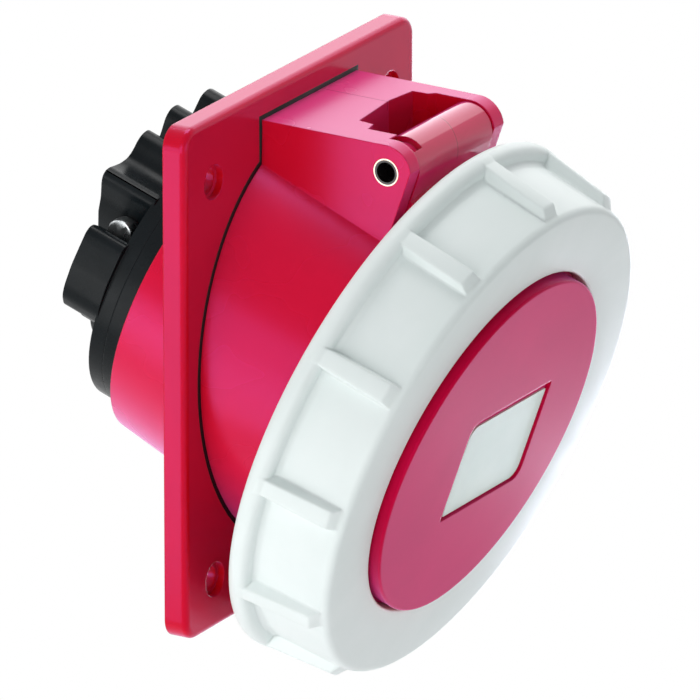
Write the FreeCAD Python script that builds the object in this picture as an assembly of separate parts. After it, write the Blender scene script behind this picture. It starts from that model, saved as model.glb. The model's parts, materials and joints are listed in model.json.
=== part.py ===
import FreeCAD, Part
import math
import os

V = FreeCAD.Vector
os.makedirs("parts", exist_ok=True)

# Shared frame: origin = centre of the hole pattern on the panel face, X right, Z up, front = -Y.
# Driving dimensions (mm). Everything that fits is derived from these and from the clearances.
PLATE_W = 83.4
PLATE_H = 100.0
PLATE_T = 4.8
PLATE_X = -0.5
PLATE_Z = 1.3
PLATE_CORNER_R = 4.0
PLATE_EDGE_R = 1.3
PITCH_X = 64.0
PITCH_Z = 78.0
HOLE_R = 2.65
HOLE_RIM_R = 3.35
HOLE_RIM_DEPTH = 1.5
TILT = 19.5
AXIS_X = 2.25
AXIS_Z = -2.4
SEAM = 0.5
SEAL_T = 2.3
SEAL_SINK = 0.35

BARREL_R = 38.3
BARREL_DRAFT = 0.05
BARREL_X = -0.95
BARREL_UP = 2.2
BARREL_WALL = 2.7
BARREL_END = 17.5
TUBE_REAR_R = 31.3
TUBE_DRAFT = 0.09
TUBE_REAR = -23.2
TUBE_WALL = 2.85
FLOOR_S = -6.0
FLOOR_T = 3.0
REAR_BORE_R = 27.0
COLLAR_R = 36.6
COLLAR_END = 33.0
LUG_OUT_R = 44.3
LUG_S0 = 26.5
LUG_S1 = 29.5
LUG_SPAN = 36.0
LUG_FIRST = 114.0
KEY_W = 8.0
KEY_DEPTH = 1.6

BOX_W = 34.3
BOX_TOP = 46.25
PIN_S = 10.85
PIN_UP = 49.34
PIN_R = 2.65
PIN_BORE_R = 1.95
PIN_RUN = 0.06
EAR_R = 5.3
EAR_FRONT = 4.75
EAR_T = 3.5
KNUCKLE_R = 5.0
KNUCKLE_RUN = 0.15
KNUCKLE_NOTCH_W = 3.4
KNUCKLE_NOTCH_D = 1.1
SIDE_RUN = 0.25
POCKET_BACK = -19.6
POCKET_EAR_Y = -30.2
POCKET_STEP_Y = -23.6
POCKET_SIDE_T = 6.25

RING_BORE_R = 46.4
RING_WALL = 2.9
RIM_RISE = 1.2
RIM_TUBE = 2.9
RIM_S = 21.74
RING_FRONT = 39.65
RING_WALL_S = 36.5
RING_HOLE_R = 35.8
RIB_COUNT = 12
RIB_TOP_W = 3.4
RIB_BASE_W = 5.8
RIB_PHASE = -1.0
RIB_RISE = 4.0
RIB_FALL = 1.3
RIB_END = 37.0
RIB_END_SLOPE = 1.6
RING_LUG_R = 40.5
RING_LUG_S0 = 22.0
RING_LUG_S1 = 25.0
RING_LUG_SPAN = 24.0
RING_TURN = 36.0
SNAP_R = 45.2

LID_RUN = 0.08
LID_FLANGE_S0 = 34.4
LID_FLANGE_S1 = 36.3
LID_DISC_R = 35.0
LID_FACE = 41.4
LID_EDGE_R = 0.5
LID_WALL = 2.4
GASKET_IN_R = 32.9
GASKET_OUT_R = 37.6
GASKET_SINK = 0.8
ARM_W = BOX_W - 2 * EAR_T - 2 * SIDE_RUN
SKIRT_IN_R = 43.6
SKIRT_REAR = 12.6
LABEL_X = 4.5
LABEL_UP = -3.2
LABEL_W = 27.3
LABEL_H = 19.6
LABEL_T = 0.35
LABEL_SINK = 0.9
LABEL_CORNER_R = 2.6

INSERT_R = 24.5
INSERT_FRONT = 27.0
INSERT_REAR = -18.0
INSERT_FLANGE_R = 26.8
O_RING_S0 = -15.4
O_RING_T = 0.95
CONTACT_PITCH = 15.0
PHASE_R = 4.25
PHASE_BORE = 3.0
EARTH_R = 5.25
EARTH_BORE = 4.0
CONTACT_FRONT = 24.5
CONTACT_REAR = -38.0
WIRE_BORE = 11.0
WIRE_WALL = 1.4
DISC_R = 28.05
RETAINER_END = -27.4
BLOCK_END = -30.6
SPIGOT_R = 22.5
CORE_R = 22.6
LOBE_END = -42.0
SCREW_S = -34.5
SCREW_TURN = -43.5
SCREW_SHANK_R = 1.9
SCREW_HEAD_R = 2.6
SCREW_SEAT = 10.2
SCREW_HEAD_T = 2.5
TAB_OFF = 30.5
TAB_R = 3.6
TAB_T = 1.9
TAB_SCREW_R = 1.4
TAB_HEAD_R = 2.7
TAB_HEAD_T = 1.3
TAB_SCREW_L = 4.1
TAB_DRIVE_L = 3.2
TAB_DRIVE_W = 0.6
TAB_DRIVE_D = 0.7

RING_FLOOR_R = RING_BORE_R + RING_WALL
RIM_R = RING_FLOOR_R + RIM_RISE
RIB_REAR_R = RING_FLOOR_R + RIB_RISE
RIB_FRONT_R = RIB_REAR_R - RIB_FALL
SIN = math.sin(math.radians(TILT))
COS = math.cos(math.radians(TILT))
FRAME = FreeCAD.Placement(V(AXIS_X, -PLATE_T, AXIS_Z), FreeCAD.Rotation(V(1, 0, 0), 90 + TILT))


def placed(shape):
    out = shape.copy()
    out.Placement = FRAME.multiply(shape.Placement)
    return out


def local(y, z):
    dy = y + PLATE_T
    dz = z - AXIS_Z
    return (-dy * COS - dz * SIN, -dy * SIN + dz * COS)


def world(s, up):
    return (-PLATE_T - s * COS - up * SIN, AXIS_Z - s * SIN + up * COS)


def cyl(r, s0, s1, x=0.0, up=0.0):
    return Part.makeCylinder(r, s1 - s0, V(x, up, s0))


def cone(r0, r1, s0, s1, x=0.0, up=0.0):
    return Part.makeCone(r0, r1, s1 - s0, V(x, up, s0))


def tube(ro, ri, s0, s1):
    return cyl(ro, s0, s1).cut(cyl(ri, s0 - 1, s1 + 1))


def polar(r, deg):
    a = math.radians(deg)
    return (r * math.sin(a), r * math.cos(a))


def wire(path, point):
    """Closed wire from (a, b) points; a 4-tuple is an arc through (a, b) to (c, d)."""
    edges = []
    last = point(*path[0])
    for item in path[1:] + [path[0]]:
        if len(item) == 4:
            mid = point(item[0], item[1])
            end = point(item[2], item[3])
            edges.append(Part.Arc(last, mid, end).toShape())
        else:
            end = point(item[0], item[1])
            if (end - last).Length < 1e-6:
                continue
            edges.append(Part.makeLine(last, end))
        last = end
    return Part.Wire(edges)


def revolved(path):
    face = Part.Face(wire(path, lambda s, r: V(r, 0, s)))
    return face.revolve(V(0, 0, 0), V(0, 0, 1), 360)


def slab(path, x0, x1):
    """Prism from an (s, up) outline, between two X values."""
    face = Part.Face(wire(path, lambda s, up: V(x0, up, s)))
    return face.extrude(V(x1 - x0, 0, 0))


def sector(r0, r1, s0, s1, a0, a1):
    """Part of a ring, angles measured from up toward +X."""
    pts = []
    for r, s in ((r0, s0), (r1, s0), (r1, s1), (r0, s1)):
        x, up = polar(r, a0)
        pts.append(V(x, up, s))
    face = Part.Face(Part.makePolygon(pts + [pts[0]]))
    return face.revolve(V(0, 0, 0), V(0, 0, -1), a1 - a0)


def tube_r(s):
    return TUBE_REAR_R + TUBE_DRAFT * (s - TUBE_REAR)


def well_r(s):
    return tube_r(s) - TUBE_WALL


def barrel_r(s):
    return BARREL_R - BARREL_DRAFT * s


def half_space_behind(y, size=300.0):
    return Part.makeBox(size, size, size, V(-size / 2, y, -size / 2))


def rounded_plate(w, h, t, cx, cz, corner, y_front):
    x0 = cx - w / 2
    x1 = cx + w / 2
    z0 = cz - h / 2
    z1 = cz + h / 2
    k = corner * (1 - math.sqrt(0.5))
    path = [(x0 + corner, z0), (x1 - corner, z0), (x1 - k, z0 + k, x1, z0 + corner),
            (x1, z1 - corner), (x1 - k, z1 - k, x1 - corner, z1), (x0 + corner, z1),
            (x0 + k, z1 - k, x0, z1 - corner), (x0, z0 + corner),
            (x0 + k, z0 + k, x0 + corner, z0)]
    face = Part.Face(wire(path, lambda x, z: V(x, y_front, z)))
    return face.extrude(V(0, t, 0))


def fillet_where(shape, radius, test):
    picked = [e for e in shape.Edges if test(e)]
    if not picked:
        return shape
    return shape.makeFillet(radius, picked)


def hinge_profile(grow):
    """Side outline of the hinge box in (s, up); grow widens it for the plate opening."""
    rear = local(0.001, BOX_TOP + grow)
    py, pz = world(PIN_S, PIN_UP)
    r = EAR_R + grow
    top = local(py, pz + r)
    mid = local(py - r * math.sin(math.radians(40)), pz + r * math.cos(math.radians(40)))
    rise = math.sqrt(r * r - (EAR_FRONT + grow) ** 2)
    front = (PIN_S + EAR_FRONT + grow, PIN_UP + rise)
    low = 26.0
    back = local(0.001, world(0, 26.0)[1] + 0.0)
    return [rear, top, (mid[0], mid[1], front[0], front[1]), (front[0], low), (back[0], low)]


def barrel(grow, s0, s1):
    return cone(barrel_r(s0) + grow, barrel_r(s1) + grow, s0, s1, BARREL_X, BARREL_UP)


def tab_outline(ix, iz, grow):
    cx, cz = TAB_CENTRES[ix * 2 + iz]
    bx = AXIS_X + BARREL_X
    bz = AXIS_Z + BARREL_UP / COS
    dx = bx - cx
    dz = bz - cz
    n = math.hypot(dx, dz)
    dx = dx / n
    dz = dz / n
    r = TAB_R + grow
    px = -dz * r
    pz = dx * r
    reach = 12.0
    path = [(cx + px, cz + pz), (cx - dx * r, cz - dz * r, cx - px, cz - pz),
            (cx - px + dx * reach, cz - pz + dz * reach),
            (cx + px + dx * reach, cz + pz + dz * reach)]
    return path


TAB_CENTRES = []
for sx in (-1, 1):
    for sz in (-1, 1):
        TAB_CENTRES.append((AXIS_X + BARREL_X + sx * TAB_OFF, AXIS_Z + BARREL_UP / COS + sz * TAB_OFF))


def tab(ix, iz, grow, y0, y1):
    face = Part.Face(wire(tab_outline(ix, iz, grow), lambda x, z: V(x, y0, z)))
    return face.extrude(V(0, y1 - y0, 0))


# Outer body of the housing, also used grown to cut the plate opening and the seam seal
def outer_body(grow):
    box = slab(hinge_profile(grow), -BOX_W / 2 - grow, BOX_W / 2 + grow)
    both = barrel(grow, -24.0, BARREL_END).fuse(box)
    both = placed(both)
    return both.cut(half_space_behind(0.0))


opening = outer_body(SEAM)
body_outer = outer_body(0.0)

# mounting flange
plate = rounded_plate(PLATE_W, PLATE_H, PLATE_T, PLATE_X, PLATE_Z, PLATE_CORNER_R, -PLATE_T)
plate = fillet_where(plate, PLATE_EDGE_R, lambda e: e.BoundBox.YMax < -PLATE_T + 0.01)
plate = plate.cut(opening)
for sx in (-1, 1):
    for sz in (-1, 1):
        cx = sx * PITCH_X / 2
        cz = sz * PITCH_Z / 2
        plate = plate.cut(Part.makeCylinder(HOLE_R, PLATE_T + 2, V(cx, -PLATE_T - 1, cz), V(0, 1, 0)))
        plate = plate.cut(Part.makeCylinder(HOLE_RIM_R, HOLE_RIM_DEPTH + 1,
                                            V(cx, -PLATE_T - 1, cz), V(0, 1, 0)))
for ix in (0, 1):
    for iz in (0, 1):
        plate = plate.cut(tab(ix, iz, 0.15, -TAB_T, 1.0))
        cx, cz = TAB_CENTRES[ix * 2 + iz]
        plate = plate.cut(Part.makeCylinder(TAB_SCREW_R, TAB_SCREW_L, V(cx, -TAB_SCREW_L - 0.1, cz), V(0, 1, 0)))
mounting_flange = plate

# socket housing
tube_outer = cone(tube_r(TUBE_REAR), tube_r(BARREL_END), TUBE_REAR, BARREL_END)
collar = cyl(COLLAR_R, BARREL_END - 0.5, COLLAR_END)
ear_x = BOX_W / 2 - EAR_T
pocket_left = AXIS_X - BOX_W / 2 + POCKET_SIDE_T
pocket_right = AXIS_X + ear_x
far = -60.0
cavity_pts = [(pocket_left + 3.3, POCKET_BACK - 0.6), (pocket_right - 8.5, POCKET_BACK + 0.6),
              (pocket_right - 1.3, POCKET_BACK - 0.3), (pocket_right - 1.1, POCKET_STEP_Y + 0.5),
              (pocket_right, POCKET_STEP_Y - 0.6), (pocket_right, far),
              (AXIS_X - ear_x, far), (AXIS_X - ear_x, POCKET_EAR_Y), (pocket_left, POCKET_EAR_Y),
              (pocket_left, POCKET_STEP_Y - 0.4), (pocket_left + 2.75, POCKET_STEP_Y + 0.1)]
cavity = Part.Face(wire(cavity_pts, lambda x, y: V(x, y, 20.0))).extrude(V(0, 0, 50.0))
cavity = cavity.cut(placed(barrel(0.7, -24.0, 60.0)))
core = cone(barrel_r(-24.0) - BARREL_WALL, barrel_r(13.5) - BARREL_WALL, -24.0, 13.5,
            BARREL_X, BARREL_UP)
core = placed(core)
box_core = Part.makeBox(BOX_W - 5.0, 17.0, 43.4 - 30.0, V(AXIS_X - BOX_W / 2 + 2.5, -17.0, 30.0))
housing = body_outer.cut(cavity)
housing = housing.cut(core.fuse(box_core))
housing = housing.fuse(placed(tube_outer.fuse(collar)))
lugs = []
for first in (LUG_FIRST, LUG_FIRST - 180.0):
    lugs.append(sector(COLLAR_R - 0.6, LUG_OUT_R, LUG_S0, LUG_S1, first, first + LUG_SPAN))
housing = housing.fuse(placed(lugs[0])).fuse(placed(lugs[1]))
for ix in (0, 1):
    for iz in (0, 1):
        arm = tab(ix, iz, 0.0, -TAB_T, 0.0)
        arm = arm.cut(placed(barrel(-BARREL_WALL + 0.4, -60.0, 60.0)))
        housing = housing.fuse(arm)
well = cone(well_r(FLOOR_S), well_r(COLLAR_END + 1), FLOOR_S, COLLAR_END + 1)
key = cone(well_r(FLOOR_S) + KEY_DEPTH, well_r(COLLAR_END + 1) + KEY_DEPTH, FLOOR_S, COLLAR_END + 1)
key = key.common(Part.makeBox(KEY_W, 60, 80, V(-KEY_W / 2, -60, -20)))
rear_bore = cyl(REAR_BORE_R, TUBE_REAR - 1, FLOOR_S - FLOOR_T)
floor_bore = cyl(INSERT_R + 0.15, FLOOR_S - FLOOR_T - 1, FLOOR_S + 1)
pin_hole = Part.makeCylinder(PIN_R, BOX_W + 20, V(-BOX_W / 2 - 10, PIN_UP, PIN_S), V(1, 0, 0))
knuckle_room = Part.makeCylinder(KNUCKLE_R + KNUCKLE_RUN, 2 * ear_x, V(-ear_x, PIN_UP, PIN_S), V(1, 0, 0))
housing = housing.cut(placed(well.fuse(key).fuse(rear_bore).fuse(floor_bore).fuse(pin_hole)))
housing = housing.cut(placed(knuckle_room))
for cx, cz in TAB_CENTRES:
    housing = housing.cut(Part.makeCylinder(TAB_SCREW_R, PLATE_T + 1, V(cx, -PLATE_T, cz), V(0, 1, 0)))
    housing = housing.cut(Part.makeCone(TAB_SCREW_R, TAB_HEAD_R, TAB_HEAD_T, V(cx, -TAB_HEAD_T, cz), V(0, 1, 0)))
socket_housing = housing.removeSplitter()

# seam seal: black band between flange and housing
band = Part.makeBox(2 * PLATE_W, SEAL_T, 2 * PLATE_H, V(-PLATE_W, -PLATE_T + SEAL_SINK, -PLATE_H))
seal = opening.common(band).cut(body_outer)
seam_seal = seal

# countersunk screws from behind
flange_screws = []
for cx, cz in TAB_CENTRES:
    head = Part.makeCone(TAB_SCREW_R, TAB_HEAD_R, TAB_HEAD_T, V(cx, -TAB_HEAD_T, cz), V(0, 1, 0))
    shank = Part.makeCylinder(TAB_SCREW_R, TAB_SCREW_L - TAB_HEAD_T, V(cx, -TAB_SCREW_L, cz), V(0, 1, 0))
    screw = head.fuse(shank)
    for rot in (0, 90):
        slot = Part.makeBox(TAB_DRIVE_L, 1.0, TAB_DRIVE_W, V(-TAB_DRIVE_L / 2, 0, -TAB_DRIVE_W / 2))
        slot.Placement = FreeCAD.Placement(V(cx, -TAB_DRIVE_D, cz), FreeCAD.Rotation(V(0, 1, 0), rot))
        screw = screw.cut(slot)
    flange_screws.append(screw)

# hinge pin
pin_len = BOX_W
pin = Part.makeCylinder(PIN_R, pin_len, V(-pin_len / 2, PIN_UP, PIN_S), V(1, 0, 0))
pin = pin.cut(Part.makeCylinder(PIN_BORE_R, pin_len + 2, V(-pin_len / 2 - 1, PIN_UP, PIN_S), V(1, 0, 0)))
hinge_pin = placed(pin)

# bayonet ring
q = math.sqrt(0.5)
rim_top = RIM_R + RIM_TUBE
foot_s = RIM_S + RIM_TUBE + 2.3
path = [(RIM_S - RIM_TUBE + 0.66, RING_BORE_R), (RIM_S - RIM_TUBE, RING_BORE_R + 1.9), (RIM_S - RIM_TUBE, RIM_R),
        (RIM_S - RIM_TUBE * q, RIM_R + RIM_TUBE * q, RIM_S, rim_top),
        (RIM_S + RIM_TUBE * 0.643, RIM_R + RIM_TUBE * 0.766,
         RIM_S + RIM_TUBE * 0.94, RIM_R + RIM_TUBE * 0.342),
        (foot_s - 1.2, RING_FLOOR_R + 0.35),
        (foot_s, RING_FLOOR_R), (RING_FRONT - 1.5, RING_FLOOR_R - 0.05),
        (RING_FRONT - 1.5 * (1 - q), RING_FLOOR_R - 0.05 - 1.5 * (1 - q), RING_FRONT, RING_FLOOR_R - 1.55),
        (RING_FRONT, RING_HOLE_R + 0.6),
        (RING_FRONT - 0.6 * (1 - q), RING_HOLE_R + 0.6 * (1 - q), RING_FRONT - 0.6, RING_HOLE_R),
        (RING_WALL_S, RING_HOLE_R), (RING_WALL_S, RING_BORE_R)]
ring = revolved(path)
low_r = RING_FLOOR_R - RING_WALL / 2
top_r = RIB_REAR_R + RIB_FALL
rib_side = [(RIM_S, low_r), (RIM_S, RIB_REAR_R), (RIB_END, RIB_FRONT_R),
            (RIB_END + RIB_END_SLOPE, RING_FLOOR_R - 0.4), (RIB_END + RIB_END_SLOPE, low_r)]
rib_a = slab(rib_side, -RIB_BASE_W, RIB_BASE_W)
drop = (RIB_BASE_W - RIB_TOP_W) / 2 / (RIB_REAR_R - RING_FLOOR_R)
half_low = RIB_TOP_W / 2 + drop * (RIB_REAR_R - low_r)
half_top = RIB_TOP_W / 2 - drop * (top_r - RIB_REAR_R)
rib_b = Part.Face(Part.makePolygon([V(-half_low, low_r, 15), V(half_low, low_r, 15), V(half_top, top_r, 15),
                                    V(-half_top, top_r, 15), V(-half_low, low_r, 15)])).extrude(V(0, 0, 30))
rib = rib_a.common(rib_b)
ribs = []
for i in range(RIB_COUNT):
    r = rib.copy()
    r.rotate(V(0, 0, 0), V(0, 0, 1), 360.0 / RIB_COUNT * i - RIB_PHASE)
    ribs.append(r)
ring = ring.multiFuse(ribs)
inner = []
for mid in (90.0, -90.0):
    inner.append(sector(RING_LUG_R, RING_BORE_R + 0.6, RING_LUG_S0, RING_LUG_S1,
                        mid - RING_LUG_SPAN / 2, mid + RING_LUG_SPAN / 2))
for mid in (60.0, 120.0, 180.0, -120.0):
    inner.append(sector(SNAP_R, RING_BORE_R + 0.6, LID_FLANGE_S0 - 1.2, LID_FLANGE_S0 - 0.2,
                        mid - 9.0, mid + 9.0))
ring = ring.multiFuse(inner).removeSplitter()
bayonet_ring = placed(ring)

# lid: proud disc, flange under the ring, hinge arm and knuckle in one moulding
lid_r = RING_BORE_R - LID_RUN
e = LID_EDGE_R
path = [(LID_FLANGE_S0, GASKET_IN_R - 0.9), (LID_FLANGE_S0, lid_r), (LID_FLANGE_S1, lid_r),
        (LID_FLANGE_S1, LID_DISC_R), (LID_FACE - e, LID_DISC_R),
        (LID_FACE - e * (1 - q), LID_DISC_R - e * (1 - q), LID_FACE, LID_DISC_R - e),
        (LID_FACE, 0.0), (LID_FACE - LID_WALL, 0.0), (LID_FACE - LID_WALL, GASKET_IN_R - 0.9)]
disc = revolved(path)
groove_r = tube(GASKET_OUT_R, GASKET_IN_R, LID_FLANGE_S0 - 1, LID_FLANGE_S0 + GASKET_SINK)
disc = disc.cut(groove_r)
skirt = tube(lid_r, SKIRT_IN_R, SKIRT_REAR, LID_FLANGE_S0 + 0.2)
skirt = skirt.common(Part.makeBox(ARM_W, 20, 60, V(-ARM_W / 2, 38, 0)))
arm_side = [(PIN_S, PIN_UP), (PIN_S + 0.3, PIN_UP - KNUCKLE_R * 0.99), (SKIRT_REAR + 0.25, SKIRT_IN_R),
            (PIN_S + KNUCKLE_R, SKIRT_IN_R), (PIN_S + KNUCKLE_R, PIN_UP)]
arm = slab(arm_side, -ARM_W / 2, ARM_W / 2)
knuckle = Part.makeCylinder(KNUCKLE_R, ARM_W, V(-ARM_W / 2, PIN_UP, PIN_S), V(1, 0, 0))
notch = Part.makeCylinder(KNUCKLE_R + 1, KNUCKLE_NOTCH_W, V(-ARM_W / 2 - 0.1, PIN_UP, PIN_S), V(1, 0, 0))
notch = notch.cut(Part.makeCylinder(KNUCKLE_R - KNUCKLE_NOTCH_D, 8, V(-ARM_W / 2 - 2, PIN_UP, PIN_S), V(1, 0, 0)))
ny, nz = PIN_S, PIN_UP
wedge = slab([(ny, nz), (ny - 9, nz + 1.5), (ny - 9, nz + 12), (ny + 5.2, nz + 10)],
             -ARM_W / 2 - 3, -ARM_W / 2 + 6)
notch = notch.common(wedge)
lid = disc.fuse(skirt).fuse(arm).fuse(knuckle).cut(notch)
lid = lid.cut(Part.makeCylinder(PIN_R + PIN_RUN, ARM_W + 4, V(-ARM_W / 2 - 2, PIN_UP, PIN_S), V(1, 0, 0)))


def label_outline(x0, x1, u0, u1, small):
    c = LABEL_CORNER_R
    k = c * (1 - q)
    d = small
    j = d * (1 - q)
    return [(x0 + d, u0), (x1 - c, u0), (x1 - k, u0 + k, x1, u0 + c), (x1, u1 - d),
            (x1 - j, u1 - j, x1 - d, u1), (x0 + c, u1), (x0 + k, u1 - k, x0, u1 - c),
            (x0, u0 + d), (x0 + j, u0 + j, x0 + d, u0)]


lx0 = LABEL_X - LABEL_W / 2
lx1 = LABEL_X + LABEL_W / 2
lu0 = LABEL_UP - LABEL_H / 2
lu1 = LABEL_UP + LABEL_H / 2
recess = Part.Face(wire(label_outline(lx0 - 1.6, lx1 + 0.3, lu0 - 0.3, lu1 + 1.9, 0.6),
                        lambda x, up: V(x, up, LID_FACE - LABEL_SINK))).extrude(V(0, 0, 5))
lid = lid.cut(recess).removeSplitter()
lid = placed(lid)
label = Part.Face(wire(label_outline(lx0, lx1, lu0, lu1, 0.5),
                       lambda x, up: V(x, up, LID_FACE - LABEL_SINK))).extrude(V(0, 0, LABEL_T))
label_plate = placed(label)
lid_gasket = placed(tube(GASKET_OUT_R, GASKET_IN_R, COLLAR_END, LID_FLANGE_S0 + GASKET_SINK))

# contacts
CONTACTS = [("contact_l1", -108.0, PHASE_R, PHASE_BORE), ("contact_l2", -36.0, PHASE_R, PHASE_BORE),
            ("contact_l3", 36.0, PHASE_R, PHASE_BORE), ("contact_neutral", 108.0, PHASE_R, PHASE_BORE),
            ("contact_earth", 180.0, EARTH_R, EARTH_BORE)]
contacts = {}
terminal_screws = []
screw_cuts = []
insert = cyl(INSERT_R, INSERT_REAR, INSERT_FRONT)
insert = insert.fuse(cyl(INSERT_FLANGE_R, O_RING_S0, FLOOR_S - FLOOR_T))
insert = insert.fuse(cyl(REAR_BORE_R - 2 * O_RING_T, INSERT_REAR, O_RING_S0))
block = cyl(SPIGOT_R, RETAINER_END - 0.5, INSERT_REAR).fuse(cyl(DISC_R, BLOCK_END, RETAINER_END))
block = block.fuse(cyl(CORE_R, LOBE_END, BLOCK_END + 0.5))


def lobe(points, s_end):
    pts = []
    for deg, r in points:
        x, up = polar(r, deg)
        pts.append(V(x, up, s_end))
    curve = Part.BSplineCurve()
    curve.interpolate(pts)
    edge = curve.toShape()
    closing = Part.makeLine(pts[-1], pts[0])
    face = Part.Face(Part.Wire([edge, closing]))
    return face.extrude(V(0, 0, BLOCK_END + 0.5 - s_end))


LOBES = [([(-100, 18), (-100, 25.5), (-96, 28.2), (-88, 28.8), (-78, 28.7), (-70, 28.0), (-66.5, 25.5), (-67, 18)], -38.4),
         ([(-50, 18), (-50, 25.5), (-46.5, 28.4), (-40.5, 27.9), (-34, 25.6), (-28, 24.9), (-22.5, 27.2),
           (-17, 28.3), (-12, 27.6), (-9, 25), (-9, 18)], LOBE_END),
         ([(-4, 18), (-3, 25.5), (0, 28.2), (5, 28.6), (9, 27), (10, 23), (10, 18)], LOBE_END),
         ([(21, 18), (21, 25.5), (24, 28.3), (29, 28.5), (32, 26.5), (33, 18)], LOBE_END),
         ([(43, 18), (43, 25.5), (47, 28.4), (57, 28.4), (61, 25.5), (61, 18)], LOBE_END),
         ([(98, 18), (98, 25.5), (102, 28.4), (112, 28.4), (118, 25.2), (124, 25.2), (130, 28.2),
           (137, 28.2), (141, 25.5), (141, 18)], LOBE_END),
         ([(171, 18), (171, 25.5), (175, 28.4), (190, 28.8), (205, 28.4), (211, 25.5), (211, 18)], -38.4)]
block = block.multiFuse([lobe(p, s) for p, s in LOBES])

for name, deg, r, bore in CONTACTS:
    x, up = polar(CONTACT_PITCH, deg)
    sleeve = cyl(r, CONTACT_REAR, CONTACT_FRONT, x, up)
    sleeve = sleeve.cut(cyl(bore, -16.0, CONTACT_FRONT + 1, x, up))
    sleeve = sleeve.cut(cyl(r - WIRE_WALL, CONTACT_REAR - 1, CONTACT_REAR + WIRE_BORE, x, up))
    slit = Part.makeBox(0.8, 2 * r + 2, 22.0, V(x - 0.4, up - r - 1, CONTACT_FRONT - 20.0))
    sleeve = sleeve.cut(slit)
    ex, eu = polar(1.0, deg + SCREW_TURN)
    axis = V(ex, eu, 0)
    start = V(x + ex * (r - WIRE_WALL - 0.6), up + eu * (r - WIRE_WALL - 0.6), SCREW_S)
    seat = V(x + ex * SCREW_SEAT, up + eu * SCREW_SEAT, SCREW_S)
    shank_len = SCREW_SEAT - (r - WIRE_WALL - 0.6)
    shank = Part.makeCylinder(SCREW_SHANK_R, shank_len, start, axis)
    head = Part.makeCylinder(SCREW_HEAD_R, SCREW_HEAD_T, seat, axis)
    head = head.makeFillet(0.35, [g for g in head.Edges if len(g.Vertexes) == 1
                                  and (g.CenterOfMass - seat).Length > SCREW_HEAD_T - 0.1])
    slot = Part.makeBox(0.8, 8.0, 1.4, V(-0.4, -4.0, 0))
    rot = FreeCAD.Rotation(V(0, 0, 1), axis)
    tip = seat + axis * (SCREW_HEAD_T - 1.0)
    slot.Placement = FreeCAD.Placement(tip, rot)
    terminal_screws.append(placed(shank.fuse(head).cut(slot)))
    sleeve = sleeve.cut(Part.makeCylinder(SCREW_SHANK_R, shank_len, start, axis))
    contacts[name] = placed(sleeve)
    insert = insert.cut(cyl(r, INSERT_REAR - 1, INSERT_FRONT + 1, x, up))
    block = block.cut(cyl(r, CONTACT_REAR, INSERT_REAR + 1, x, up))
    block = block.cut(cyl(r - WIRE_WALL + 0.3, LOBE_END - 1, CONTACT_REAR + 1, x, up))
    block = block.cut(Part.makeCylinder(SCREW_SHANK_R, SCREW_SEAT, V(x, up, SCREW_S), axis))
    block = block.cut(Part.makeCylinder(SCREW_HEAD_R + 0.2, 12.0, seat, axis))

# centre screw and seal of the contact carrier
screw_seat = LOBE_END + 3.5
head = cyl(3.8, screw_seat - 2.6, screw_seat)
head = head.cut(Part.makeBox(1.0, 9.0, 2.0, V(-0.5, -4.5, screw_seat - 2.6 - 0.8)))
centre_screw = placed(head.fuse(cyl(2.0, screw_seat, -4.0)))
block = block.cut(cyl(2.0, screw_seat - 1, INSERT_REAR + 1)).cut(cyl(4.1, LOBE_END - 1, screw_seat))
insert = insert.cut(cyl(2.0, INSERT_REAR - 1, -3.5))
contact_insert = placed(insert)
ring_seal = Part.makeTorus(REAR_BORE_R - O_RING_T, O_RING_T, V(0, 0, O_RING_S0 - O_RING_T), V(0, 0, 1))
insert_o_ring = placed(ring_seal)
retainer = cyl(REAR_BORE_R, TUBE_REAR, INSERT_REAR).fuse(cyl(DISC_R, RETAINER_END, TUBE_REAR))
retainer = retainer.cut(cyl(SPIGOT_R, RETAINER_END - 1, INSERT_REAR + 1))
insert_retainer = placed(retainer)
terminal_block = placed(block.removeSplitter())

NODES = {
    "mounting_flange": mounting_flange,
    "socket_housing": socket_housing,
    "seam_seal": seam_seal,
    "flange_screws": Part.makeCompound(flange_screws),
    "hinge_pin": hinge_pin,
    "bayonet_ring": bayonet_ring,
    "lid": lid,
    "lid_gasket": lid_gasket,
    "label_plate": label_plate,
    "contact_insert": contact_insert,
    "insert_o_ring": insert_o_ring,
    "insert_retainer": insert_retainer,
    "terminal_block": terminal_block,
    "terminal_screws": Part.makeCompound(terminal_screws),
    "centre_screw": centre_screw,
}
NODES.update(contacts)
for name in sorted(NODES):
    shape = NODES[name]
    print(name, shape.ShapeType, len(shape.Solids), shape.isValid(), round(shape.Volume, 1))
    shape.exportStep("parts/" + name + ".step")
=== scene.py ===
import bpy
import bmesh
import math
import json
from mathutils import Vector, Matrix


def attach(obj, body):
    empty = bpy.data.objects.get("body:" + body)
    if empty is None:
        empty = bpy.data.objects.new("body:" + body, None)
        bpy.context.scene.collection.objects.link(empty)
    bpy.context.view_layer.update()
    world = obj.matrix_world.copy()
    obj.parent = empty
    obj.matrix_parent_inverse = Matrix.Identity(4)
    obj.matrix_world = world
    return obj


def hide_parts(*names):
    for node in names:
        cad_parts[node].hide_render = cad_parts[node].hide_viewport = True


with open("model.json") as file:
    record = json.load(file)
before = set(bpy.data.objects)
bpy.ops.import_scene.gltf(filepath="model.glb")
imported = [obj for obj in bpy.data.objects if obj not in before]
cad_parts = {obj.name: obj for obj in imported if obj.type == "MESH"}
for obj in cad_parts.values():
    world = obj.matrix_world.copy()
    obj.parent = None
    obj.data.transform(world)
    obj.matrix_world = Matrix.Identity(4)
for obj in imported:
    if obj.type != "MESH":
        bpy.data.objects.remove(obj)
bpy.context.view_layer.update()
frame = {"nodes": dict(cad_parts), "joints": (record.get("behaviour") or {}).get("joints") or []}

scene = bpy.context.scene
nodes = frame["nodes"]

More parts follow.
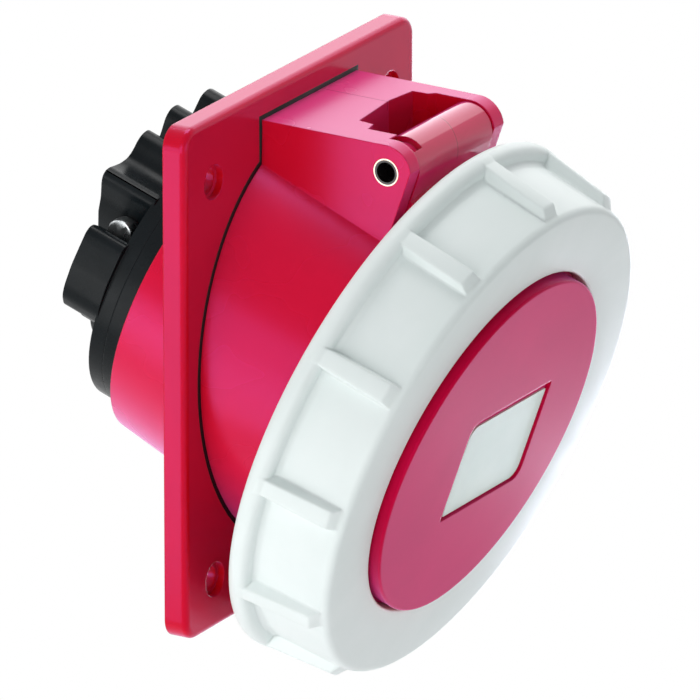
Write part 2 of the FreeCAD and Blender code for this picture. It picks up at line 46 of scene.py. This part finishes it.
# Mounting flange: the rectangular red plate with rounded corners and four stepped screw holes that
# carries the whole socket. Injection moulded in the same glossy polyamide as the housing; its red is
# set as a darker, less rosy copy of the housing's, as painted shade. It is screwed to the panel from
# the front.


class Sock:
    """A shader value or colour with plain Python operators."""

    def __init__(self, mat, socket):
        self.mat, self.socket = mat, socket

    def maths(self, operation, *values):
        sockets = {i: v for i, v in enumerate(values)}
        return self.mat.node("ShaderNodeMath", {"operation": operation}, sockets)

    def __add__(self, other):
        return self.maths("ADD", self, other)

    def __radd__(self, other):
        return self.maths("ADD", other, self)

    def __sub__(self, other):
        return self.maths("SUBTRACT", self, other)

    def __rsub__(self, other):
        return self.maths("SUBTRACT", other, self)

    def __mul__(self, other):
        return self.maths("MULTIPLY", self, other)

    def __rmul__(self, other):
        return self.maths("MULTIPLY", other, self)

    def __pow__(self, other):
        return self.maths("POWER", self, other)

    def __abs__(self):
        return self.maths("ABSOLUTE", self)


class Finish:
    """One material: a Principled shader and the nodes that vary it over the surface."""

    def __init__(self, name, color, rough, **constants):
        self.material = bpy.data.materials.new(name)
        self.material.use_nodes = True
        self.tree = self.material.node_tree
        self.shader = self.tree.nodes["Principled BSDF"]
        self.shader.inputs["Base Color"].default_value = (*color, 1)
        self.shader.inputs["Roughness"].default_value = rough
        for key, value in constants.items():
            self.shader.inputs[key.replace("_", " ")].default_value = value
        self.at = self.tree.nodes.new("ShaderNodeTexCoord").outputs["Object"]
        self.last_bump = None

    def node(self, kind, settings, sockets, out=0):
        n = self.tree.nodes.new(kind)
        for key, value in settings.items():
            setattr(n, key, value)
        for key, value in sockets.items():
            value = value.socket if isinstance(value, Sock) else value
            if isinstance(value, bpy.types.NodeSocket):
                self.tree.links.new(value, n.inputs[key])
            else:
                n.inputs[key].default_value = value
        return Sock(self, n.outputs[out])

    def place(self):
        """The x, y and z of the point that is shaded."""
        parts = self.node("ShaderNodeSeparateXYZ", {}, {"Vector": self.at}).socket.node
        return [Sock(self, part) for part in parts.outputs]

    def noise(self, scale, detail, rough, distort=0.0):
        return self.node("ShaderNodeTexNoise", {},
                         {"Vector": self.at, "Scale": scale, "Detail": detail,
                          "Roughness": rough, "Distortion": distort})

    def ramp(self, value, lo, hi, a=0.0, b=1.0):
        return self.node("ShaderNodeMapRange", {"interpolation_type": "SMOOTHSTEP"},
                         {0: value, 1: lo, 2: hi, 3: a, 4: b})

    def blend(self, factor, first, second):
        a = first if isinstance(first, Sock) else (*first, 1)
        b = second if isinstance(second, Sock) else (*second, 1)
        return self.node("ShaderNodeMix", {"data_type": "RGBA"}, {0: factor, 6: a, 7: b}, out=2)

    def feed(self, **links):
        for key, value in links.items():
            self.tree.links.new(value.socket, self.shader.inputs[key.replace("_", " ")])

    def soften(self, radius):
        """Edges rounded in the shading only, as a mould leaves them."""
        self.last_bump = self.node("ShaderNodeBevel", {"samples": 6}, {"Radius": radius})
        self.feed(Normal=self.last_bump)

    def bump(self, height, strength, distance):
        sockets = {"Height": height, "Strength": strength, "Distance": distance}
        if self.last_bump:
            sockets["Normal"] = self.last_bump
        self.last_bump = self.node("ShaderNodeBump", {}, sockets)
        self.feed(Normal=self.last_bump)


def glossy_moulding(name, deep, plain, rough, gloss, painted_sheen, parting=None, glazed_above=None):
    """Glossy moulded plastic: pigment a little uneven, rose-tinted reflections, a pink sheen painted
    into the base colour towards grazing angles, fine orange peel, and a few patches dulled by
    handling. parting gives the line that the two mould halves leave: x at y = 0, its slope, and the
    y and z between which it shows, in metres.
    glazed_above is the height from which the moulding keeps its full polish."""
    m = Finish(name, plain, rough, Specular_IOR_Level=gloss, Specular_Tint=(0.8, 0.22, 1.0, 1.0))
    cloud = m.ramp(m.noise(34, 4, 0.55, 0.4), 0.3, 0.7)
    grazing = m.node("ShaderNodeLayerWeight", {}, {"Blend": 0.5}, out=1)
    # Towards grazing angles the base colour is blended to pink: a painted sheen.
    body = m.blend(grazing ** 3 * painted_sheen, m.blend(cloud, deep, plain), (0.84, 0.12, 0.55))
    m.soften(0.00035)
    if parting:
        x0, slope, y0, y1, z0 = parting
        x, y, z = m.place()
        line = m.ramp(abs(x - (y * slope + x0)), 0.00006, 0.00016, 1.0, 0.0)
        line = line * m.ramp(z, z0, z0 + 0.0005)
        line = line * m.ramp(y, y0, y0 + 0.0004) * m.ramp(y, y1 - 0.0004, y1, 1.0, 0.0)
        body = m.blend(line * 0.6, body, (0.20, 0.001, 0.02))
        m.bump(1 - line, 0.5, 0.00012)
    m.feed(Base_Color=body)
    if glazed_above:
        _, _, z = m.place()
        m.feed(Coat_Weight=m.ramp(z, glazed_above - 0.003, glazed_above + 0.003))
    handled = m.noise(60, 2, 0.5)
    m.feed(Roughness=m.ramp(handled, 0.3, 0.8, rough, rough + 0.025))
    m.bump(m.noise(900, 2, 0.5), 0.03, 0.00008)
    return m.material


def dress(name, material):
    data = nodes[name].data
    data.materials.clear()
    data.materials.append(material)


# The flange's red is a shaded copy of the housing's: painted shade.
dress("mounting_flange", glossy_moulding("flange_red", (0.58, 0.001, 0.003), (0.64, 0.0014, 0.004),
                                         rough=0.20, gloss=0.4, painted_sheen=0.6))

# Socket housing: barrel, hinge box and ears in one moulding of the same polyamide as the flange; its
# red is set as a rosier copy of the flange's, as painted light. It drops into the flange from behind
# and is held by four screwed tabs.
# The mould's halves leave a faint line across the top of the hinge box.
box_parting = (0.0068, 0.0, -0.0200, -0.0050, 0.0440)
# The housing's red is a lit copy of the flange's: painted light.
dress("socket_housing", glossy_moulding("housing_red", (0.63, 0.002, 0.013), (0.69, 0.003, 0.019),
                                        rough=0.26, gloss=0.5, painted_sheen=1.2, parting=box_parting))

# Seam band: the black rubber profile pressed into the seam between flange and housing. It swells
# a little over the flange's edge, so it stands a trace proud of the face.


def soft_black(name, low, high, rough, shine=0.25):
    m = Finish(name, high, rough, Specular_IOR_Level=shine)
    m.feed(Base_Color=m.blend(m.ramp(m.noise(60, 4, 0.6), 0.3, 0.7), low, high))
    m.feed(Roughness=m.ramp(m.noise(190, 5, 0.7), 0.4, 0.8, rough - 0.04, rough + 0.10))
    m.soften(0.0003)
    m.bump(m.noise(1500, 2, 0.5), 0.08, 0.00008)
    return m.material


def settle(name, shape, body, material, stands_for):
    """Makes a finished bmesh a piece that rides on a body and stands for a CAD node."""
    bmesh.ops.recalc_face_normals(shape, faces=shape.faces)
    mesh = bpy.data.meshes.new(name)
    shape.to_mesh(mesh)
    shape.free()
    mesh.materials.append(material)
    mesh.shade_smooth()
    mesh.set_sharp_from_angle(angle=math.radians(35))
    piece = bpy.data.objects.new(name, mesh)
    scene.collection.objects.link(piece)
    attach(piece, body)
    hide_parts(stands_for)


rubber = soft_black("seal_rubber", (0.004, 0.003, 0.003), (0.007, 0.005, 0.005), 0.62)
swell = 0.0006
band = bmesh.new()
band.from_mesh(nodes["seam_seal"].data)
bmesh.ops.remove_doubles(band, verts=band.verts, dist=0.000001)
bmesh.ops.recalc_face_normals(band, faces=band.faces)
band.normal_update()
for vert in band.verts:
    vert.co += vert.normal * swell
settle("seam_band", band, "base", rubber, "seam_seal")

# Flange screws: four small countersunk steel screws that pull the housing's tabs against the
# back of the flange. Zinc plated, with turning marks.


def turned_metal(name, color, rough, scale):
    m = Finish(name, color, rough, Metallic=1.0)
    worn = tuple(c * 0.82 for c in color)
    m.feed(Base_Color=m.blend(m.ramp(m.noise(scale, 4, 0.6), 0.3, 0.7), worn, color))
    m.feed(Roughness=m.ramp(m.noise(scale * 3, 4, 0.6), 0.3, 0.8, rough, rough + 0.16))
    m.bump(m.noise(scale * 9, 2, 0.5), 0.08, 0.00004)
    return m


zinc = turned_metal("zinc_plate", (0.46, 0.48, 0.49), 0.26, 260)
dress("flange_screws", zinc.material)

# Contact carrier: the insert that holds the contacts and the retainer disc behind it, both satin
# black glass-filled polyamide, clamped by one zinc-plated centre screw. A rubber ring seals the
# insert in the housing.
carrier_black = soft_black("carrier_black", (0.008, 0.009, 0.010), (0.014, 0.015, 0.017), 0.42)
rear_black = soft_black("rear_black", (0.003, 0.005, 0.006), (0.006, 0.009, 0.011), 0.30, 0.10)
dress("contact_insert", carrier_black)
dress("insert_retainer", rear_black)
dress("insert_o_ring", rubber)
dress("centre_screw", zinc.material)

# Terminal block: a black disc with a stepped core behind it, a round boss for each conductor and
# lobed walls that part the terminals. One moulding, held to the carrier by the centre screw.
# Sizes are in millimetres along and around the socket's tilted axis.
mm = 0.001
turn = next(j for j in frame["joints"] if j["name"] == "ring_turn")
tilt = math.atan2(turn["axis"][2], turn["axis"][1])
socket_axis = Matrix.Translation(turn["pos_m"]) @ Matrix.Rotation(math.pi / 2 + tilt, 4, "X")
disc_r, disc_front, disc_back, centre_r = 28.05, -27.4, -30.6, 0.2
spigot_r, spigot_front = 22.5, -18.0
core_r, core_end, short_end, long_end = 19.6, -36.5, -38.4, -42.0
conductor_pitch, boss_wall, boss_edge = 15.0, 1.9, 0.5
wall_root, inner_r, outer_from = disc_back + 0.4, 19.3, core_r + 0.5
small_sleeve, small_hole, earth_sleeve, earth_hole = 4.25, 3.15, 5.25, 4.15
conductors = [(-108, small_sleeve, small_hole, short_end), (-36, small_sleeve, small_hole, long_end),
              (36, small_sleeve, small_hole, long_end), (108, small_sleeve, small_hole, long_end),
              (180, earth_sleeve, earth_hole, short_end)]


def around(radius, degrees, along=0.0):
    """A point beside the socket's axis: millimetres out, degrees from up, millimetres along."""
    angle = math.radians(degrees)
    return Vector((radius * math.sin(angle), radius * math.cos(angle), along)) * mm


def turned(shape, corners, centre=(0, 0, 0), steps=96, start=0.0, span=360.0):
    """Spins a closed outline of (radius, along) corners about a line beside the axis."""
    points = [around(radius, start, along) + Vector(centre) for radius, along in corners]
    face = shape.faces.new([shape.verts.new(point) for point in points])
    full = span == 360.0
    geometry = list(face.edges) if full else [face, *face.edges, *face.verts]
    if full:
        bmesh.ops.delete(shape, geom=[face], context="FACES_ONLY")
    bmesh.ops.spin(shape, geom=geometry, cent=centre, axis=(0, 0, -1), angle=math.radians(span),
                   steps=steps, use_merge=full)


def pushed(shape, faces, to):
    """Extrudes faces lying across the axis until they stand at a height in millimetres."""
    grown = bmesh.ops.extrude_face_region(shape, geom=list(faces))["geom"]
    for vert in grown:
        if isinstance(vert, bmesh.types.BMVert):
            vert.co.z = to * mm


def walled(shape, corners, end, soft=0.9):
    """A wall behind the disc: its outline of (degrees, radius) corners, the outer ones rounded."""
    face = shape.faces.new([shape.verts.new(around(radius, deg, wall_root))
                            for deg, radius in corners])
    outer = [v for v in face.verts if v.co.xy.length > outer_from * mm]
    rounded = bmesh.ops.bevel(shape, geom=outer, offset=soft * mm, segments=4, profile=0.5,
                              affect="VERTICES", material=-1)
    pushed(shape, rounded["verts"][0].link_faces, end)


block = bmesh.new()
turned(block, [(centre_r, spigot_front), (spigot_r, spigot_front), (spigot_r, disc_front),
               (disc_r, disc_front), (disc_r, disc_back), (centre_r, disc_back)])
edge = bmesh.ops.create_circle(block, segments=72, radius=core_r * mm)["verts"]
rims = {e for v in edge for e in v.link_edges}
for degrees, _, hole_r, _ in conductors:
    hole = bmesh.ops.create_circle(block, segments=32, radius=hole_r * mm)["verts"]
    bmesh.ops.translate(block, verts=hole, vec=around(conductor_pitch, degrees))
    rims |= {e for v in hole for e in v.link_edges}
plate = bmesh.ops.triangle_fill(block, edges=list(rims), use_beauty=True)["geom"]
faces = [f for f in plate if isinstance(f, bmesh.types.BMFace)]
bmesh.ops.translate(block, verts=list({v for f in faces for v in f.verts}),
                    vec=(0, 0, wall_root * mm))
pushed(block, faces, core_end)
for degrees, sleeve_r, hole_r, end in conductors:
    boss_r = sleeve_r + boss_wall
    turned(block, [(hole_r, wall_root), (boss_r, wall_root), (boss_r, end + boss_edge),
                   (boss_r - boss_edge, end), (hole_r, end)], around(conductor_pitch, degrees), 40)

# The walls, from the lower left round over the top. Their inner corners lie within the core.
walled(block, [(-103, inner_r), (-103, 24.5), (-100, 26.6), (-94, 28.2), (-89, 28.7), (-80, 29.0),
               (-72, 29.1), (-65.5, 29.5), (-62.8, 28.4), (-62.5, 24), (-63, inner_r)], short_end)
walled(block, [(-36, 19.6), (-50, 19.4), (-57, 17.0), (-65.5, 15.8), (-56.5, 20.0), (-50.5, 22.9),
               (-46.3, 27.2), (-44, 28.6), (-41, 28.2), (-38, 26.6), (-33.5, 24.9), (-28.2, 24.1),
               (-24.3, 25.0), (-21.9, 26.4), (-18.3, 27.1), (-14, 26.7), (-10.5, 24.7), (-9, 21.5),
               (-9, inner_r), (-22, 19.5)], long_end)
walled(block, [(-3, inner_r), (-2, 22.7), (-2.2, 27.0), (0, 28.5), (5, 28.7), (9.4, 27.4), (11, 24),
               (11, inner_r)], long_end)
walled(block, [(23, inner_r), (23, 26.5), (22.3, 30.0), (25.5, 31.6), (30.5, 31.9), (34.3, 30.7),
               (36, 27), (36, inner_r)], long_end)
for left, peak, right in ((44, 47.5, 50.5), (68, 71, 74)):
    walled(block, [(left, inner_r), (left, 27.4), (peak, 28.5), (right, 27.4), (right, inner_r)],
           long_end, 0.6)
walled(block, [(98, inner_r), (98, 26.4), (102, 28.5), (112, 28.5), (118, 25.2), (124, 25.2),
               (126, 23), (126, inner_r)], long_end)
walled(block, [(165, inner_r), (165, 25.5), (167.5, 27.3), (172.4, 26.5), (172.4, inner_r)],
       short_end, 0.6)
walled(block, [(187.6, inner_r), (187.6, 26.5), (191, 27.3), (194, 25.5), (194, inner_r)],
       short_end, 0.6)
bmesh.ops.transform(block, matrix=socket_axis, verts=block.verts)
settle("rear_terminal_block", block, "base", rear_black, "terminal_block")

# Contacts: five turned brass sleeves, slit so that they grip the plug's pins, each with a
# slotted terminal screw from the side at its wire end.
brass = turned_metal("contact_brass", (0.80, 0.60, 0.28), 0.22, 180)
for name in ("contact_l1", "contact_l2", "contact_l3", "contact_neutral", "contact_earth"):
    dress(name, brass.material)

# Terminal screws: cheese-head screws with a straight slot, each driven from the side into the
# wire end of its contact. Zinc-plated steel.
screw_height, shank_r, shank_sunk, head_r, head_t = -34.5, 1.9, 1.0, 2.6, 2.5
slot_w, slot_d, slot_turn, head_edge = 0.8, 1.0, 55, 0.35
facings = (160, -91.7, 91.7, 180, 180)
seats = (8.4, 9.9, 9.9, 9.6, 9.6)
hair = 0.00001
screws = bmesh.new()
for (degrees, sleeve_r, _, _), facing, seat in zip(conductors, facings, seats):
    head = bmesh.new()
    bmesh.ops.create_circle(head, cap_ends=True, segments=32, radius=shank_r * mm)
    bmesh.ops.translate(head, verts=head.verts, vec=(0, 0, (sleeve_r - shank_sunk) * mm))
    pushed(head, head.faces, seat)
    rim = bmesh.ops.create_circle(head, cap_ends=True, segments=32, radius=head_r * mm)["verts"]
    bmesh.ops.translate(head, verts=rim, vec=(0, 0, seat * mm))
    pushed(head, rim[0].link_faces, seat + head_t)
    top = (seat + head_t) * mm
    crown = [e for e in head.edges if all(abs(v.co.z - top) < hair for v in e.verts)]
    bmesh.ops.bevel(head, geom=crown, offset=head_edge * mm, segments=2, profile=0.5,
                    affect="EDGES", material=-1)
    for side in (-1, 1):
        flat = [f for f in head.faces if all(abs(v.co.z - top) < hair for v in f.verts)]
        cut = {*flat, *(e for f in flat for e in f.edges), *(v for f in flat for v in f.verts)}
        bmesh.ops.bisect_plane(head, geom=list(cut), plane_co=(side * slot_w / 2 * mm, 0, 0),
                               plane_no=(1, 0, 0))
    strip = [f for f in head.faces if abs(f.calc_center_median().z - top) < hair
             and abs(f.calc_center_median().x) < slot_w / 2 * mm]
    pushed(head, strip, seat + head_t - slot_d)
    outward = around(1, facing).normalized().to_track_quat("Z", "Y").to_matrix().to_4x4()
    place = outward @ Matrix.Rotation(math.radians(slot_turn), 4, "Z")
    place.translation = around(conductor_pitch, degrees, screw_height)
    bmesh.ops.transform(head, matrix=socket_axis @ place, verts=head.verts)
    made = bpy.data.meshes.new("one_screw")
    head.to_mesh(made)
    head.free()
    screws.from_mesh(made)
    bpy.data.meshes.remove(made)
settle("rear_terminal_screws", screws, "base", zinc.material, "terminal_screws")

# Bayonet ring: the white locking ring that turns on the housing's collar, with a lifted rim,
# twelve finger ribs, two lugs that lock behind the collar's and four snaps that hold the lid.
# Moulded in a satin, pale grey-white polyamide.
ring_white = Finish("ring_white", (0.80, 0.86, 0.85), 0.40, Specular_IOR_Level=0.3)
ring_white.soften(0.0006)
ring_cloud = ring_white.ramp(ring_white.noise(30, 4, 0.6, 0.5), 0.3, 0.7)
ring_white.feed(Base_Color=ring_white.blend(ring_cloud, (0.76, 0.825, 0.81), (0.80, 0.855, 0.845)))
ring_white.feed(Roughness=ring_white.ramp(ring_white.noise(160, 5, 0.7), 0.4, 0.8, 0.38, 0.50))
ring_white.bump(ring_white.noise(1100, 2, 0.5), 0.04, 0.0001)
bore_r, floor_r, rim_r, hole_r = 46.4, 49.3, 53.4, 35.8
rim_back, rim_front, foot, front, face_back = 19.3, 23.5, 24.5, 39.65, 36.5
outline = [(bore_r, rim_back + 0.7), (bore_r + 1.9, rim_back), (rim_r, rim_back),
           (rim_r, rim_front), (floor_r + 1.5, rim_front + 0.2), (floor_r + 0.9, foot),
           (floor_r, front), (hole_r, front), (hole_r, face_back), (bore_r, face_back)]
rounds = {2: 2.009, 3: 1.666, 5: 0.49, 6: 1.5, 7: 0.6}
ring = bmesh.new()
corners = [ring.verts.new((radius * mm, 0, along * mm)) for radius, along in outline]
ring.faces.new(corners)
for index, radius in rounds.items():
    bmesh.ops.bevel(ring, geom=[corners[index]], offset=radius * mm, segments=6, profile=0.5,
                    affect="VERTICES", material=-1)
profile = list(ring.edges)
bmesh.ops.delete(ring, geom=list(ring.faces), context="FACES_ONLY")
bmesh.ops.spin(ring, geom=profile, cent=(0, 0, 0), axis=(0, 0, 1), angle=math.tau, steps=180,
               use_merge=True)

rib_count, rib_turn, rib_top_w, rib_base_w, rib_edge = 12, 1.0, 3.4, 4.6, 0.35
rib_root_r, rib_back_r, rib_front_r, rib_toe_r = floor_r - 1.4, 53.3, 51.4, floor_r - 0.4
rib_back, rib_front, rib_toe, rib_seen_from = 21.4, 37.0, 38.6, floor_r - 0.5
rib_outline = [(rib_root_r, rib_back), (rib_back_r, rib_back), (rib_front_r, rib_front),
               (rib_toe_r, rib_toe), (rib_root_r, rib_toe)]
for i in range(rib_count):
    side = []
    for radius, along in rib_outline:
        widening = (rib_back_r - radius) / (rib_back_r - floor_r)
        half = (rib_top_w + (rib_base_w - rib_top_w) * widening) / 2
        side.append(ring.verts.new((half * mm, radius * mm, along * mm)))
    rib = bmesh.ops.extrude_face_region(ring, geom=[ring.faces.new(side)])["geom"]
    far = [v for v in rib if isinstance(v, bmesh.types.BMVert)]
    bmesh.ops.scale(ring, verts=far, vec=(-1, 1, 1))
    whole = side + far
    arrises = {e for v in whole for e in v.link_edges
               if min(w.co.y for w in e.verts) > rib_seen_from * mm}
    softened = bmesh.ops.bevel(ring, geom=list(arrises), offset=rib_edge * mm, segments=3,
                               profile=0.5, affect="EDGES", material=-1)
    whole = {v for v in whole if v.is_valid} | set(softened["verts"])
    turn_to = Matrix.Rotation(math.radians(360 / rib_count * i + rib_turn), 4, "Z")
    bmesh.ops.transform(ring, matrix=turn_to, verts=list(whole))

held_r = bore_r + 0.6
lug_r, lug_back, lug_front, lug_half_span = 40.5, 22.0, 25.0, 12.0
snap_r, snap_back, snap_front, snap_half_span = 45.2, 33.2, 34.2, 9.0
for middle in (90, -90):
    turned(ring, [(lug_r, lug_back), (held_r, lug_back), (held_r, lug_front), (lug_r, lug_front)],
           steps=12, start=middle - lug_half_span, span=2 * lug_half_span)
for middle in (60, 120, 180, -120):
    turned(ring, [(snap_r, snap_back), (held_r, snap_back), (held_r, snap_front),
                  (snap_r, snap_front)],
           steps=8, start=middle - snap_half_span, span=2 * snap_half_span)
bmesh.ops.transform(ring, matrix=socket_axis, verts=ring.verts)
settle("white_ring", ring, "ring", ring_white.material, "bayonet_ring")

# Lid: the red cap that closes the well, hinged between the housing's ears, in one moulding with
# its arm and knuckle. Its face carries a shallow recess with a bare label plate, a flat gasket
# lies behind it, and the mould's halves leave a faint line down the knuckle.
knuckle_parting = (0.01716, 0.39, -0.0372, -0.0262, 0.0385)
dress("lid", glossy_moulding("lid_red", (0.56, 0.002, 0.040), (0.62, 0.003, 0.050), rough=0.24,
                             gloss=0.055, painted_sheen=0.8, parting=knuckle_parting, glazed_above=0.025))
dress("lid_gasket", rubber)
label = Finish("label_stock", (0.78, 0.88, 0.84), 0.40, Specular_IOR_Level=0.2)
label_cloud = label.ramp(label.noise(40, 4, 0.6), 0.35, 0.65)
label.feed(Base_Color=label.blend(label_cloud, (0.75, 0.86, 0.82), (0.80, 0.90, 0.86)))
label.bump(label.noise(3000, 2, 0.5), 0.04, 0.00003)
dress("label_plate", label.material)

# Hinge pin: a hollow nickelled steel pin through both ears and the lid's knuckle. Within the bore's
# radius it is painted near black and not metallic: painted shade in the hollow.
pin_y, pin_z, pin_bore = -0.031498, 0.040488, 0.0024
nickel_color, bore_painted_shade = (0.56, 0.46, 0.38), (0.010, 0.008, 0.008)
nickel = turned_metal("nickelled_pin", nickel_color, 0.22, 240)
_, pin_at_y, pin_at_z = nickel.place()
from_axis = ((pin_at_y - pin_y) ** 2 + (pin_at_z - pin_z) ** 2) ** 0.5
# Inside the bore's radius the colour is painted near black and not metallic: painted shade.
wall = nickel.ramp(from_axis, pin_bore - 0.00005, pin_bore)
nickel.feed(Base_Color=nickel.blend(wall, bore_painted_shade, nickel_color), Metallic=wall)
dress("hinge_pin", nickel.material)

# Studio: a long lens a little above the socket and well to its left, on a plain white floor.
# Soft sources stand overhead, at the left, in front, low behind at the left and high at the
# right, and the white surroundings are seen only by the camera and in reflections.
azimuth, elevation, distance = math.radians(-59.35), math.radians(19.42), 2.5
focal_length_px, picture_px, sensor_mm = 13561.3, 700, 36.0
target = Vector((-0.02531, -0.030, 0.00873))
back = Vector((math.sin(azimuth) * math.cos(elevation), -math.cos(azimuth) * math.cos(elevation),
               math.sin(elevation)))
camera = bpy.data.objects.new("camera", bpy.data.cameras.new("camera"))
scene.collection.objects.link(camera)
camera.location = target + back * distance
camera.rotation_euler = back.to_track_quat("Z", "Y").to_euler()
camera.data.sensor_width = sensor_mm
camera.data.lens = focal_length_px / picture_px * sensor_mm
camera.data.clip_end = 20
scene.camera = camera


def backdrop(tree, lit, seen, output):
    """Joins two shaders: one is seen by the camera, in reflections and through clear bodies,
    and the other meets all other rays."""
    ray = tree.nodes.new("ShaderNodeLightPath")
    factor = ray.outputs["Is Camera Ray"]
    for kind in ("Is Glossy Ray", "Is Transmission Ray"):
        either = tree.nodes.new("ShaderNodeMath")
        either.operation = "MAXIMUM"
        tree.links.new(factor, either.inputs[0])
        tree.links.new(ray.outputs[kind], either.inputs[1])
        factor = either.outputs[0]
    mix = tree.nodes.new("ShaderNodeMixShader")
    tree.links.new(factor, mix.inputs["Fac"])
    tree.links.new(lit.outputs[0], mix.inputs[1])
    tree.links.new(seen.outputs[0], mix.inputs[2])
    tree.links.new(mix.outputs[0], tree.nodes[output].inputs["Surface"])


world = bpy.data.worlds.new("studio")
scene.world = world
world.use_nodes = True
ambient = world.node_tree.nodes["Background"]
ambient.inputs["Color"].default_value = (0.93, 0.97, 1.0, 1)
ambient.inputs["Strength"].default_value = 0.22
white = world.node_tree.nodes.new("ShaderNodeBackground")
white.inputs["Color"].default_value = (1, 1, 1, 1)
backdrop(world.node_tree, ambient, white, "World Output")


def softbox(name, location, size, power, color=(1, 1, 1), aim=(0, -0.02, 0)):
    data = bpy.data.lights.new(name, "AREA")
    data.shape = "RECTANGLE"
    data.size, data.size_y = size
    data.energy = power
    data.color = color
    lamp = bpy.data.objects.new(name, data)
    lamp.location = location
    lamp.rotation_euler = (Vector(location) - Vector(aim)).to_track_quat("Z", "Y").to_euler()
    scene.collection.objects.link(lamp)
    return lamp


# side_card, close behind at the left, brightens the flange's edge. low_right_card meets the lid's
# face at a shallow angle and gives it the pale sheen that fades towards its upper left. The camera
# sees neither.
softbox("overhead", (0.2, 0.1, 0.8), (0.5, 0.5), 4.0)
softbox("left", (-0.85, -0.1, 0.0), (0.6, 0.8), 3.8)
softbox("front", (-0.2, -0.95, -0.05), (0.8, 0.6), 2.0)
softbox("low_left_card", (-0.8, 0.5, -0.12), (0.7, 0.5), 2.6)
side_card = softbox("side_card", (-0.285, 0.144, -0.085), (0.16, 0.12), 0.15, aim=(-0.042, 0.0, 0.0))
side_card.visible_camera = False
softbox("right_card", (0.85, 0.25, 0.45), (1.1, 0.8), 3.6)
sheen = softbox("low_right_card", (0.171, 0.028, -0.077), (0.13, 0.13), 0.38, (0.82, 0.84, 1.0))
across = Vector((-0.07, 0.925, -0.377))
along = Vector((0.582, 0.345, 0.738))
away = Vector((0.811, -0.166, -0.561))
sheen.rotation_euler = Matrix((across, along, away)).transposed().to_euler()
sheen.visible_camera = False

floor_half_width, floor_height = 3.0, -0.16
floor_mesh = bpy.data.meshes.new("floor")
sweep = bmesh.new()
bmesh.ops.create_grid(sweep, x_segments=1, y_segments=1, size=floor_half_width,
                      matrix=Matrix.Translation((0, 0, floor_height)))
sweep.to_mesh(floor_mesh)
sweep.free()
floor = bpy.data.objects.new("floor", floor_mesh)
scene.collection.objects.link(floor)
floor_white = bpy.data.materials.new("floor_white")
floor_white.use_nodes = True
paint = floor_white.node_tree.nodes["Principled BSDF"]
paint.inputs["Base Color"].default_value = (0.9, 0.9, 0.9, 1)
glow = floor_white.node_tree.nodes.new("ShaderNodeEmission")
backdrop(floor_white.node_tree, paint, glow, "Material Output")
floor_mesh.materials.append(floor_white)
scene.view_settings.view_transform = "Standard"
